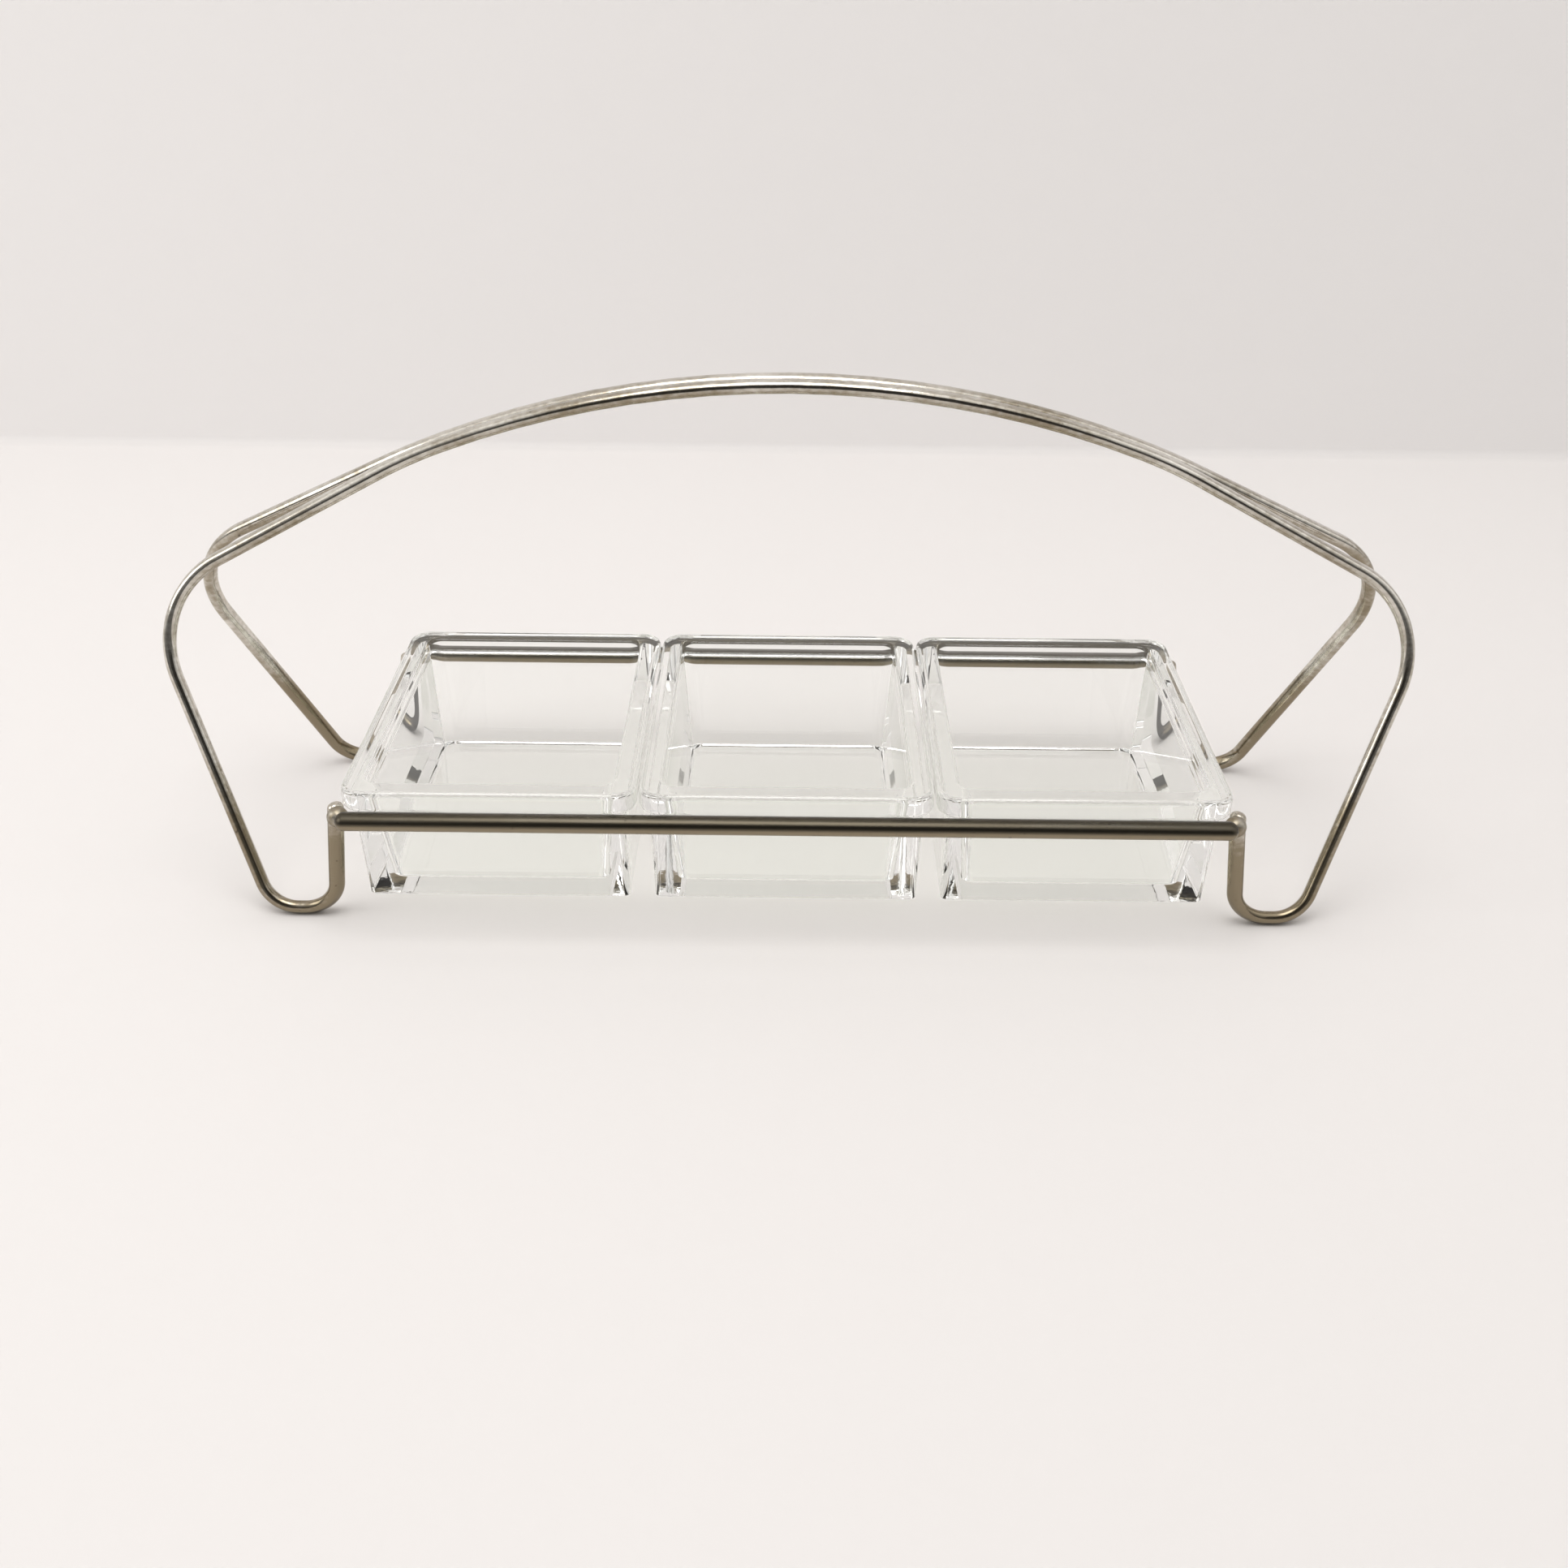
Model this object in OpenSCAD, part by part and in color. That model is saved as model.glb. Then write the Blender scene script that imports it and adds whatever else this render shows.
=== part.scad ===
// Chip and dip server: three glass dishes hung by their rims in a bent-wire rack
// with one long arched handle.  Millimetres, Z up, X along the handle, Y to the rear.
// Origin: centre of the rack on the table top.

/* [Dishes] */
// Width of one dish across its rim (X)
dish_w = 91; // [76:1:110]
// Depth of one dish across its rim (Y)
dish_d = 115; // [95:1:140]
// Height of one dish, underside to top of rim
dish_h = 42.5; // [35:0.5:52]
// Gap between the rims of neighbouring dishes
dish_gap = 0.8; // [0.4:0.1:3]
// Height of the rim band
rim_h = 7.3; // [5.5:0.1:8.5]
// Width of the flat top of the rim
rim_top_w = 7.2; // [6:0.2:8.8]
// Plan radius of the rim's outer corners
rim_corner_r = 7; // [5.5:0.5:9]
// Rounding of the rim's outer edges
rim_edge_r = 1.8; // [1:0.1:2.4]
// Overhang of the rim past the walls below it
lip = 3; // [2.4:0.1:4]
// Lean of the end walls from rim to underside (X)
draft_x = 0.6; // [0.4:0.1:2]
// Lean of the front and rear walls from rim to underside (Y)
draft_y = 4.4; // [2:0.1:6]
// Thickness of the glass floor
floor_t = 4.2; // [3.5:0.1:7]
// Thickness of the end walls at the floor (X)
base_wall_x = 7; // [5.5:0.1:8.5]
// Thickness of the front and rear walls at the floor (Y)
base_wall_y = 8.4; // [6.5:0.1:10]
// Radius of the upright corners at the mouth of a dish
well_corner_r = 4; // [3:0.25:6]

/* [Rails] */
// Width of a rail bar (Y)
rail_w = 6.4; // [5.2:0.1:7.8]
// Height of a rail bar (Z)
rail_h = 5.8; // [4:0.1:6.4]
// Clearance between a rail and the dish walls
rail_clear = 0.6; // [0.4:0.1:1.2]
// Reach of each rail past the row of dishes
rail_over = 1.2; // [0.8:0.1:2]
// Gap between the rounded lower edges of the rims and the rails
seat_gap = 0.05; // [0.02:0.01:0.2]

/* [Handle wires] */
// Width of the flattened wire
wire_w = 5.2; // [4.6:0.1:6.4]
// Thickness of the flattened wire
wire_t = 4; // [3.2:0.1:4.4]
// Clearance between a leg and the end of the row of dishes
leg_clear = 0.4; // [0.3:0.1:1.5]
// Gap between a leg and its rail, filled with solder
joint_gap = 0.5; // [0.3:0.05:0.8]
// Gap between the two wires along the top of the handle, filled with solder
seam_gap = 1.2; // [0.6:0.1:1.6]
// Height of the handle above the rims
handle_rise = 112.3; // [90:0.1:140]
// Radius of the long arch of the handle
arch_r = 303; // [250:1:370]
// Span of the long arch, end to end
arch_span = 212; // [170:1:236]
// Radius of the slow bend where the two wires part
parting_r = 120; // [90:5:150]
// Length of straight wire between the arch and each parting bend
parting_run = 1.5; // [0.8:0.1:5]
// Reach of each shoulder bend past the row of dishes
shoulder_out = 63.5; // [52:0.5:76]
// Height of the shoulder bends above the rims
shoulder_rise = 45.3; // [36:0.1:54]
// Distance of each shoulder bend from the middle (Y)
shoulder_y = 16.5; // [13:0.5:22]
// Radius of the shoulder bends
shoulder_r = 31; // [24:1:37]
// Radius of the foot bends
foot_r = 12; // [9:0.25:14]
// Reach of each foot past the row of dishes
foot_out = 8; // [6.5:0.25:11]
// Length of straight wire under a foot, between its two bends
foot_run = 2.2; // [1.6:0.1:8]
// Setback of the feet behind the tops of the short legs (Y)
foot_in = 3; // [0:0.25:5]
// Depth of the flat worn on the underside of each foot
foot_flat = 0.15; // [0.05:0.05:0.3]
// Height of the undersides of the dishes above the table
dish_lift = 8.2; // [6:0.1:14]

/* [Hidden] */
$fa = 2;
$fs = 0.6;

DISH_PITCH = dish_w + dish_gap;
ROW_HALF = (3 * dish_w + 2 * dish_gap) / 2;
RIM_TOP_Z = dish_lift + dish_h;
RIM_UNDER_Z = RIM_TOP_Z - rim_h;
RAIL_Y = dish_d / 2 - lip + rail_clear + rail_w / 2;
// rise of the rim's rounded lower edge above its underside, y from the middle of the dish
function rim_rise(y) = let (past = max(0, y - dish_d / 2 + rim_edge_r))
    rim_edge_r - sqrt(rim_edge_r * rim_edge_r - past * past);
// drop of a rail's round top below its crown, y from the middle of the dish
function rail_drop(y) = let (away = (y - RAIL_Y) / (rail_w / 2))
    rail_h / 2 * (1 - sqrt(max(0, 1 - away * away)));
// the rail's crown stands past the rim, so the rim's edge lets it come up by this much
SEAT_STEPS = 60;
SEAT_RISE = min([for (k = [0:SEAT_STEPS]) let (y = dish_d / 2 - lip * k / SEAT_STEPS)
                 rim_rise(y) + rail_drop(y)]);
RAIL_Z = RIM_UNDER_Z + SEAT_RISE - seat_gap - rail_h / 2;
RAIL_HALF = ROW_HALF + rail_over;
LEG_X = ROW_HALF + leg_clear + wire_t / 2;
LEG_Y = RAIL_Y - rail_w / 2 - joint_gap - wire_w / 2;
LEG_TOP_Z = RAIL_Z + rail_h / 2;
WIRE_Y = (wire_w + seam_gap) / 2;
APEX_Z = RIM_TOP_Z + handle_rise - wire_t / 2;
ARCH_HALF = asin(arch_span / 2 / arch_r);
SOLDER_R = rail_h * 0.58;
SEAM_H = wire_t * 0.5;

METAL = [0.78, 0.77, 0.74];
SOLDER = [0.6, 0.59, 0.56];
GLASS = [0.82, 0.9, 0.88, 0.5];

// ---------- vectors ----------
function unit(v) = v / norm(v);
function turn_angle(a, b) = acos(max(-1, min(1, unit(a) * unit(b))));
// v turned by angle t about the unit axis k
function turned(v, k, t) = v * cos(t) + cross(k, v) * sin(t) + k * (k * v) * (1 - cos(t));
// part of b square to a, as a unit vector
function square_to(a, b) = unit(b - a * (a * b));

// ---------- a flattened wire bent along a chain of points ----------
function run_dir(p, i) = unit(p[i + 1] - p[i]);
function bend_turn(p, i) = turn_angle(run_dir(p, i - 1), run_dir(p, i));
function bend_trim(p, r, i) = (i == 0 || i == len(p) - 1) ? 0 : r[i] * tan(bend_turn(p, i) / 2);
// direction of the wire's wide axis along run i, carried round each bend without twist
function wide_axis(p, i, start) = i == 0 ? start :
    let (a = run_dir(p, i - 1), b = run_dir(p, i))
    turned(wide_axis(p, i - 1, start), unit(cross(a, b)), turn_angle(a, b));

// places children with their x, y and z along three unit vectors and their origin at o
module placed(x, y, z, o) {
  multmatrix([[x[0], y[0], z[0], o[0]],
              [x[1], y[1], z[1], o[1]],
              [x[2], y[2], z[2], o[2]],
              [0, 0, 0, 1]])
    children();
}

module oval(w, t) {
  scale([w, t]) circle(d = 1);
}

// flat strip with round edges, wide axis along X
module flat_oval(w, t) {
  square([w - t, t], center = true);
  for (side = [-1, 1])
    translate([side * (w - t) / 2, 0]) circle(d = t);
}

// half an oval ball that closes a bar end, domed towards +Z, wide axis along X
module domed_end(w, t) {
  rotate([0, 90, 0])
    rotate([0, 0, 90])
      rotate_extrude(angle = 180)
        intersection() {
          oval(t, w);
          translate([0, -w]) square([w, 2 * w]);
        }
}

// rounded tip that closes a flattened wire, domed towards +Z, wide axis along X
module wire_tip(w, t) {
  intersection() {
    union() {
      rotate([0, 90, 0]) cylinder(d = t, h = w - t, center = true);
      for (side = [-1, 1])
        translate([side * (w - t) / 2, 0, 0]) sphere(d = t);
    }
    translate([-w, -w, 0]) cube([2 * w, 2 * w, 2 * w]);
  }
}

// direction of the turn at point i, measured round the wire from its wide axis
function turn_side(p, i, start) =
    let (d = run_dir(p, i - 1), w = wide_axis(p, i - 1, start), q = square_to(d, run_dir(p, i)))
    atan2(q * cross(d, w), q * w);

// cross-section of the wire, grown by g all round
module wire_section(g) {
  flat_oval(wire_w + 2 * g, wire_t + 2 * g);
}

// one bend at the current end of the wire, and the children carried on from its far end
module bend(r, turn, side) {
  rotate([0, 0, side])
    translate([r, 0, 0]) {
      rotate([0, 0, 180])
        rotate([90, 0, 0])
          bend_ring(r, -bend_spare(r), turn + bend_spare(r), side);
      rotate([0, turn, 0])
        translate([-r, 0, 0])
          rotate([0, 0, -side])
            children();
    }
}

// part of a ring of wire from angle a to angle b
module bend_ring(r, a, b, side) {
  rotate([0, 0, a])
    rotate_extrude(angle = b - a)
      translate([r, 0])
        rotate(side)
          wire_section(BEND_SWELL);
}

// straight run from point i and the bend at its far end, over and over to the last point
module wire_from(p, r, i, start) {
  length = norm(p[i + 1] - p[i]) - bend_trim(p, r, i) - bend_trim(p, r, i + 1);
  past = i < len(p) - 2 ? RUN_OVERLAP : 0;
  translate([0, 0, -RUN_OVERLAP])
    linear_extrude(height = length + RUN_OVERLAP + past) wire_section(0);
  translate([0, 0, length])
    if (i < len(p) - 2)
      bend(r[i + 1], bend_turn(p, i + 1), turn_side(p, i + 1, start))
        wire_from(p, r, i + 1, start);
    else
      wire_tip(wire_w, wire_t);
}

// the wire is a hair thicker in its bends, so every straight run enters its bends with a clean step
BEND_SWELL = 0.04;
BEND_OVERLAP = 0.5;
RUN_OVERLAP = 0.3;
// angle by which a bend of radius r runs on past its ends
function bend_spare(r) = BEND_OVERLAP / r * 180 / PI;

// one side of a front wire, from the end of the arch down to the top of the short leg
ARCH_END = [-arch_r * sin(ARCH_HALF), -WIRE_Y, APEX_Z - arch_r * (1 - cos(ARCH_HALF))];
ARCH_DIR = [-cos(ARCH_HALF), 0, -sin(ARCH_HALF)];
SHOULDER = [-(ROW_HALF + shoulder_out), -shoulder_y, RIM_TOP_Z + shoulder_rise];
// distance from the end of the arch to the corner of the parting bend, found by repetition
function parting_reach(tries) = tries == 0 ? parting_run :
    let (corner = ARCH_END + ARCH_DIR * parting_reach(tries - 1))
    parting_run + parting_r * tan(turn_angle(ARCH_DIR, SHOULDER - corner) / 2);
REACH_TRIES = 6;
LEG_TOP = [-LEG_X, -LEG_Y, LEG_TOP_Z - wire_t / 2];
FOOT_Y = LEG_Y - foot_in;
// corner of a foot's inner bend, and the run of the foot from its outer corner towards it
function foot_inner(foot_z) = [-(ROW_HALF + foot_out), -FOOT_Y, foot_z];
ALONG_FOOT = [1, 0, 0];
// distance between the corners of the two bends of a foot, found by repetition
function foot_reach(foot_z, tries) = tries == 0 ? 2 * foot_r :
    let (inner = foot_inner(foot_z), outer = inner - ALONG_FOOT * foot_reach(foot_z, tries - 1))
    foot_run + foot_r * (tan(turn_angle(outer - SHOULDER, ALONG_FOOT) / 2)
                         + tan(turn_angle(ALONG_FOOT, LEG_TOP - inner) / 2));
FOOT_RUN = 3;
WIDE_START = [0, 1, 0];
function wire_points(foot_z) = [
  ARCH_END,
  ARCH_END + ARCH_DIR * parting_reach(REACH_TRIES),
  SHOULDER,
  foot_inner(foot_z) - ALONG_FOOT * foot_reach(foot_z, REACH_TRIES),
  foot_inner(foot_z),
  LEG_TOP
];
// height of the foot's centre line: the wire leans there, so its lower edge sets the height
function foot_height(p) =
    wire_t / 2 - foot_flat + abs(wide_axis(p, FOOT_RUN, WIDE_START)[2]) * (wire_w - wire_t) / 2;
WIRE_PTS = wire_points(foot_height(wire_points(wire_t / 2)));
WIRE_RADII = [0, parting_r, shoulder_r, foot_r, foot_r, 0];

module wire_side() {
  placed(WIDE_START, cross(ARCH_DIR, WIDE_START), ARCH_DIR, ARCH_END)
    wire_from(WIRE_PTS, WIRE_RADII, 0, WIDE_START);
}

module handle_wire() {
  arch_turn = ARCH_HALF + bend_spare(arch_r);
  below = 2 * wire_w;
  foot_x = -WIRE_PTS[FOOT_RUN][0];
  difference() {
    union() {
      translate([0, -WIRE_Y, APEX_Z - arch_r])
        rotate([90, 0, 0])
          rotate([0, 0, 90])
            bend_ring(arch_r, -arch_turn, arch_turn, 90);
      wire_side();
      mirror([1, 0, 0]) wire_side();
    }
    // the table plane cuts the flats of the feet
    translate([-foot_x, -2 * LEG_Y, -below])
      cube([2 * foot_x, 2 * LEG_Y, below]);
  }
}

module rail_bar() {
  straight = RAIL_HALF - rail_h / 2;
  translate([0, -RAIL_Y, RAIL_Z]) {
    placed([0, 1, 0], [0, 0, 1], [1, 0, 0], [-straight, 0, 0])
      linear_extrude(height = 2 * straight) oval(rail_w, rail_h);
    for (side = [0, 1])
      mirror([side, 0, 0])
        placed([0, 1, 0], [0, 0, 1], [1, 0, 0], [straight, 0, 0])
          domed_end(rail_w, rail_h);
  }
}

// ---------- named parts ----------
module front_rail() color(METAL) rail_bar();
module rear_rail() color(METAL) mirror([0, 1, 0]) rail_bar();
module front_wire() color(METAL) handle_wire();
module rear_wire() color(METAL) mirror([0, 1, 0]) handle_wire();

// the last straight run of a front wire, up to its tip beside the rail
module short_leg() {
  last = len(WIRE_PTS) - 2;
  d = run_dir(WIRE_PTS, last);
  w = wide_axis(WIRE_PTS, last, WIDE_START);
  trim = bend_trim(WIRE_PTS, WIRE_RADII, last);
  placed(w, cross(d, w), d, WIRE_PTS[last] + d * trim)
    wire_from([[0, 0, 0], [0, 0, norm(WIRE_PTS[last + 1] - WIRE_PTS[last]) - trim]], [0, 0], 0, WIDE_START);
}

// bead of solder between the top of a short leg and the end of its rail
module corner_bead() {
  difference() {
    translate([-RAIL_HALF, -(RAIL_Y - rail_w / 2 - joint_gap / 2), RAIL_Z - rail_h * 0.1])
      sphere(r = SOLDER_R);
    rail_bar();
    short_leg();
  }
}

module corner_solder() color(SOLDER) {
  for (sx = [0, 1], sy = [0, 1])
    mirror([sx, 0, 0]) mirror([0, sy, 0]) corner_bead();
}

// thin seam of solder between the two wires over the top of the handle
module handle_solder() color(SOLDER) {
  for (side = [0, 1])
    mirror([side, 0, 0])
      translate([0, 0, APEX_Z - arch_r])
        rotate([90, 0, 0])
          rotate([0, 0, 90])
            rotate_extrude(angle = ARCH_HALF)
              translate([arch_r, 0])
                difference() {
                  square([SEAM_H, 2 * WIRE_Y], center = true);
                  for (s = [-1, 1])
                    translate([0, s * WIRE_Y]) rotate(90) wire_section(BEND_SWELL);
                }
}

// ---------- dishes ----------
// upright block with rounded corners, half sizes hx and hy
module rounded_block(hx, hy, h, r) {
  linear_extrude(height = h) {
    square([2 * hx, 2 * (hy - r)], center = true);
    square([2 * (hx - r), 2 * hy], center = true);
    for (sx = [-1, 1], sy = [-1, 1])
      translate([sx * (hx - r), sy * (hy - r)]) circle(r = r);
  }
}

// bar along Y whose cross-section narrows from half width a at height h to b at the base
module leaning_bar_x(a, b, h, reach) {
  rotate([90, 0, 0])
    linear_extrude(height = 2 * reach, center = true)
      polygon([[-b, 0], [b, 0], [a, h], [-a, h]]);
}

// block with four leaning sides, half sizes ax and ay at height h, bx and by at the base
module leaning_block(ax, bx, ay, by, h) {
  intersection() {
    leaning_bar_x(ax, bx, h, 2 * ay);
    rotate([0, 0, 90]) leaning_bar_x(ay, by, h, 2 * ax);
  }
}

// cross-section of the rim's outer band, outer face at x = 0, underside at y = 0
module rim_profile(w) {
  difference() {
    translate([-w, 0]) square([w, rim_h]);
    translate([-rim_edge_r, 0]) square([2 * rim_edge_r, rim_edge_r]);
    translate([-rim_edge_r, rim_h - rim_edge_r]) square([2 * rim_edge_r, rim_edge_r]);
  }
  translate([-rim_edge_r, rim_edge_r]) circle(r = rim_edge_r);
  translate([-rim_edge_r, rim_h - rim_edge_r]) circle(r = rim_edge_r);
}

module rim_slab() {
  hx = dish_w / 2;
  hy = dish_d / 2;
  r = rim_corner_r;
  for (side = [0, 1]) {
    mirror([side, 0, 0])
      translate([hx, hy - r, 0])
        rotate([90, 0, 0])
          linear_extrude(height = 2 * (hy - r)) rim_profile(r);
    mirror([0, side, 0])
      translate([-(hx - r), hy, 0])
        rotate([90, 0, 90])
          linear_extrude(height = 2 * (hx - r)) rim_profile(r);
  }
  translate([0, 0, rim_h / 2])
    cube([2 * (hx - r), 2 * (hy - r), rim_h], center = true);
  for (sx = [0, 1], sy = [0, 1])
    mirror([sx, 0, 0])
      mirror([0, sy, 0])
        translate([hx - r, hy - r, 0])
          rotate_extrude(angle = 90)
            translate([r, 0]) rim_profile(r);
}

module dish() {
  wall_hx = dish_w / 2 - lip;
  wall_hy = dish_d / 2 - lip;
  body_h = dish_h - rim_h / 2;
  well_h = dish_h - floor_t;
  well_hx = dish_w / 2 - rim_top_w;
  well_hy = dish_d / 2 - rim_top_w;
  base_hx = wall_hx - draft_x - base_wall_x;
  base_hy = wall_hy - draft_y - base_wall_y;
  difference() {
    union() {
      intersection() {
        leaning_block(wall_hx, wall_hx - draft_x, wall_hy, wall_hy - draft_y, body_h);
        rounded_block(wall_hx, wall_hy, body_h, rim_corner_r - lip);
      }
      translate([0, 0, dish_h - rim_h]) rim_slab();
    }
    // the well, carried on above the rim so that it opens cleanly
    translate([0, 0, floor_t])
      intersection() {
        leaning_block(2 * well_hx - base_hx, base_hx, 2 * well_hy - base_hy, base_hy, 2 * well_h);
        rounded_block(well_hx, well_hy, 2 * well_h, well_corner_r);
      }
  }
}

module dish_at(place) {
  translate([place * DISH_PITCH, 0, dish_lift]) dish();
}

module dish_left() color(GLASS) dish_at(-1);
module dish_middle() color(GLASS) dish_at(0);
module dish_right() color(GLASS) dish_at(1);

front_rail();
rear_rail();
front_wire();
rear_wire();
corner_solder();
handle_solder();
dish_left();
dish_middle();
dish_right();
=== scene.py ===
"""Wire rack server with glass dishes: shapes, finishes, light and camera."""

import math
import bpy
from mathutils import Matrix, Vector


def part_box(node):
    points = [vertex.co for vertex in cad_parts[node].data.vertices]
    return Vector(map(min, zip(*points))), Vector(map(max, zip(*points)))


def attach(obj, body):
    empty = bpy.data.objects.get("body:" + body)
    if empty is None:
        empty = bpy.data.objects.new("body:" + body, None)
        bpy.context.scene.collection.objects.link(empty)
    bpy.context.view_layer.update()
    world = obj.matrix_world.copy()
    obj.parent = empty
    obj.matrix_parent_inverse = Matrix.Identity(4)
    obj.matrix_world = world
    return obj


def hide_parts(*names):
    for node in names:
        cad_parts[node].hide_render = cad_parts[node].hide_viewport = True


bl_info = {
    "name": "Wire rack server",
    "version": (1, 0, 0),
    "blender": (4, 5, 0),
    "location": "View3D > Sidebar > Server",
    "description": "Builds a handled wire rack with lift-out glass dishes",
    "category": "Object",
}

import bmesh
import bpy
from bpy.props import FloatProperty, FloatVectorProperty, PointerProperty
from mathutils import Euler, Matrix, Vector

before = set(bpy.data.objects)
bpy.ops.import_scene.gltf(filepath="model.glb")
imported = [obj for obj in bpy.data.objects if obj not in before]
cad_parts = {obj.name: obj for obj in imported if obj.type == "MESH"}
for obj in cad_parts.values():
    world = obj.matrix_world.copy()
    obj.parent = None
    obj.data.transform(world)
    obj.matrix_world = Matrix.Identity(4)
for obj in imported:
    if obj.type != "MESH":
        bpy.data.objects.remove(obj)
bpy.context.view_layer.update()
MM = 0.001
DISHES = ("dish_left", "dish_middle", "dish_right")
RACK = "rack"
RIM_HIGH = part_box("dish_middle")[1]
ROW_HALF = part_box("dish_right")[1].x
HANDLE_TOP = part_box("front_wire")[1].z
RAIL_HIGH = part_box("front_rail")[1]

# Steps along curves, and how close points count as one
RING_SIDES = 40
BEND_STEP = math.radians(2.5)
FEWEST_BEND_STEPS = 6
DOME_STEPS = 6
RAIL_END_STEPS = 10
CORNER_STEPS = 8
EDGE_STEPS = 6
SOLVER_TRIES = 6
SAME_POINT = 1e-7
SEAM_REACH = 1e-6

# Sockets of a colour Mix node, whose names repeat for each data type
MIX_A, MIX_B, MIX_RESULT = 6, 7, 2

# Stage sizes
TABLE_REACH, TABLE_FRONT, COVE_RADIUS, WALL_HEIGHT = 3.0, -2.5, 0.006, 2.5
CARD_PLACE, CARD_SHARE = (0.05, -0.75, 0.62), (0.9, 0.75, 1.0, 1.0)
LIGHT_TINT = (1.0, 0.985, 0.965)
SKY_LEAN = (0.0, 0.78, 0.62)
LAMPS = (
    # name, place, aim, size, power
    ("overhead", (-0.1, -0.35, 1.7), (0, 0.3, 0.1), 1.0, 10.5),
    ("left_window", (-1.5, -0.45, 0.9), (0, 0.1, 0.1), 0.9, 5.0),
)


def length(name, text, size, low=0.0, high=1.0):
    """A size in metres, shown in the scene's units."""
    return FloatProperty(name=name, description=text, default=size, min=low, max=high,
                         unit="LENGTH", precision=5)


def share(name, text, value, low=0.0, high=1.0):
    """A plain number without a unit."""
    return FloatProperty(name=name, description=text, default=value, min=low, max=high,
                         subtype="FACTOR")


def colour(name, text, rgb):
    """An opaque colour."""
    return FloatVectorProperty(name=name, description=text, default=(*rgb, 1.0), size=4,
                               min=0.0, max=1.0, subtype="COLOR")


class WireSizes(bpy.types.PropertyGroup):
    """Sizes of the bent handle wires"""

    width: length("Width", "Wide size of the flattened wire", 5.28 * MM)
    thickness: length("Thickness", "Thin size of the flattened wire", 4.08 * MM)
    seam_gap: length("Seam gap", "Gap between the two wires along the handle", 1.12 * MM)
    arch_radius: length("Arch radius", "Radius of the long arch", 303 * MM)
    arch_span: length("Arch span", "Span of the long arch, end to end", 212 * MM)
    parting_radius: length("Parting radius", "Radius where the wires part", 120 * MM)
    parting_run: length("Parting run", "Straight wire between arch and parting", 1.5 * MM)
    shoulder_out: length("Shoulder reach", "Shoulder past the row of dishes", 63.5 * MM)
    shoulder_rise: length("Shoulder rise", "Shoulder above the rims", 45.3 * MM)
    shoulder_y: length("Shoulder spread", "Shoulder from the middle", 16.5 * MM)
    shoulder_radius: length("Shoulder radius", "Radius of the shoulder bend", 31 * MM)
    foot_out: length("Foot reach", "Foot past the row of dishes", 8 * MM)
    foot_run: length("Foot run", "Straight wire under a foot", 2.2 * MM)
    foot_y: length("Foot spread", "Foot from the middle", 49 * MM)
    foot_height: length("Foot height", "Centre line of the foot above the table", 2.2 * MM)
    foot_radius: length("Foot radius", "Radius of the foot bends", 12 * MM)
    leg_x: length("Short leg end", "End of the short leg along the row", 139.7 * MM)
    leg_y: length("Short leg spread", "Top of the short leg from the middle", 52 * MM)


class DishSizes(bpy.types.PropertyGroup):
    """Sizes of one glass dish"""

    rim_height: length("Rim height", "Height of the rim band", 7.3 * MM)
    rim_top: length("Rim top", "Width of the flat top of the rim", 7.2 * MM)
    lip: length("Overhang", "Overhang of the rim past the walls", 3 * MM)
    floor: length("Floor", "Thickness of the floor", 4.2 * MM)
    base_wall_x: length("End wall", "End wall at the floor", 7 * MM)
    base_wall_y: length("Front wall", "Front and rear walls at the floor", 8.4 * MM)
    draft_x: length("End lean", "Lean of the end walls", 0.6 * MM)
    draft_y: length("Front lean", "Lean of the front and rear walls", 4.4 * MM)
    rim_corner: length("Rim corner", "Plan radius of the rim corners", 7 * MM)
    wall_corner: length("Wall corner", "Radius of the wall corners", 2 * MM)
    well_corner: length("Well corner", "Radius of the corners inside", 4 * MM)
    rim_edge: length("Rim edge", "Rounding of the rim's outer edges", 1.7 * MM)
    lip_edge: length("Lip edge", "Rounding of the inner edge of the rim", 1.3 * MM)
    floor_edge: length("Floor edge", "Rounding between walls and floor", 1.1 * MM)
    base_edge: length("Base edge", "Rounding of the edge of the base", 0.7 * MM)
    neck_edge: length("Neck edge", "Rounding where the walls meet the rim", 0.6 * MM)
    corner_growth: share("Corner growth", "Wall corner at the rim over that at the base",
                         1.6, 1.0, 3.0)


class Finishes(bpy.types.PropertyGroup):
    """Colours, wear and painted shade"""

    silver: colour("Silver", "Polished metal", (0.80, 0.77, 0.71))
    tarnish: colour("Tarnish", "Brown film on the metal", (0.27, 0.225, 0.155))
    specks: colour("Specks", "Dark specks in the film", (0.10, 0.08, 0.06))
    # Black painted on the tops of the rails: painted shade where the glass rims shade them
    black_painted_shade: colour("Black painted shade", "Black painted as shade on the rail tops under the rims", (0.05, 0.045, 0.035))
    solder: colour("Solder", "Dull joint metal", (0.55, 0.53, 0.48))
    glass: colour("Glass", "Clear glass with a faint green cast", (0.985, 0.995, 0.985))
    table: colour("Table", "Plain pale floor", (0.785, 0.762, 0.752))
    wall: colour("Wall", "Plain pale wall behind the table", (0.95, 0.93, 0.925))
    wire_tarnish: share("Wire tarnish", "How much of the wires is tarnished", 0.34)
    rail_tarnish: share("Rail tarnish", "How much of the rails is tarnished", 0.62)


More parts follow.
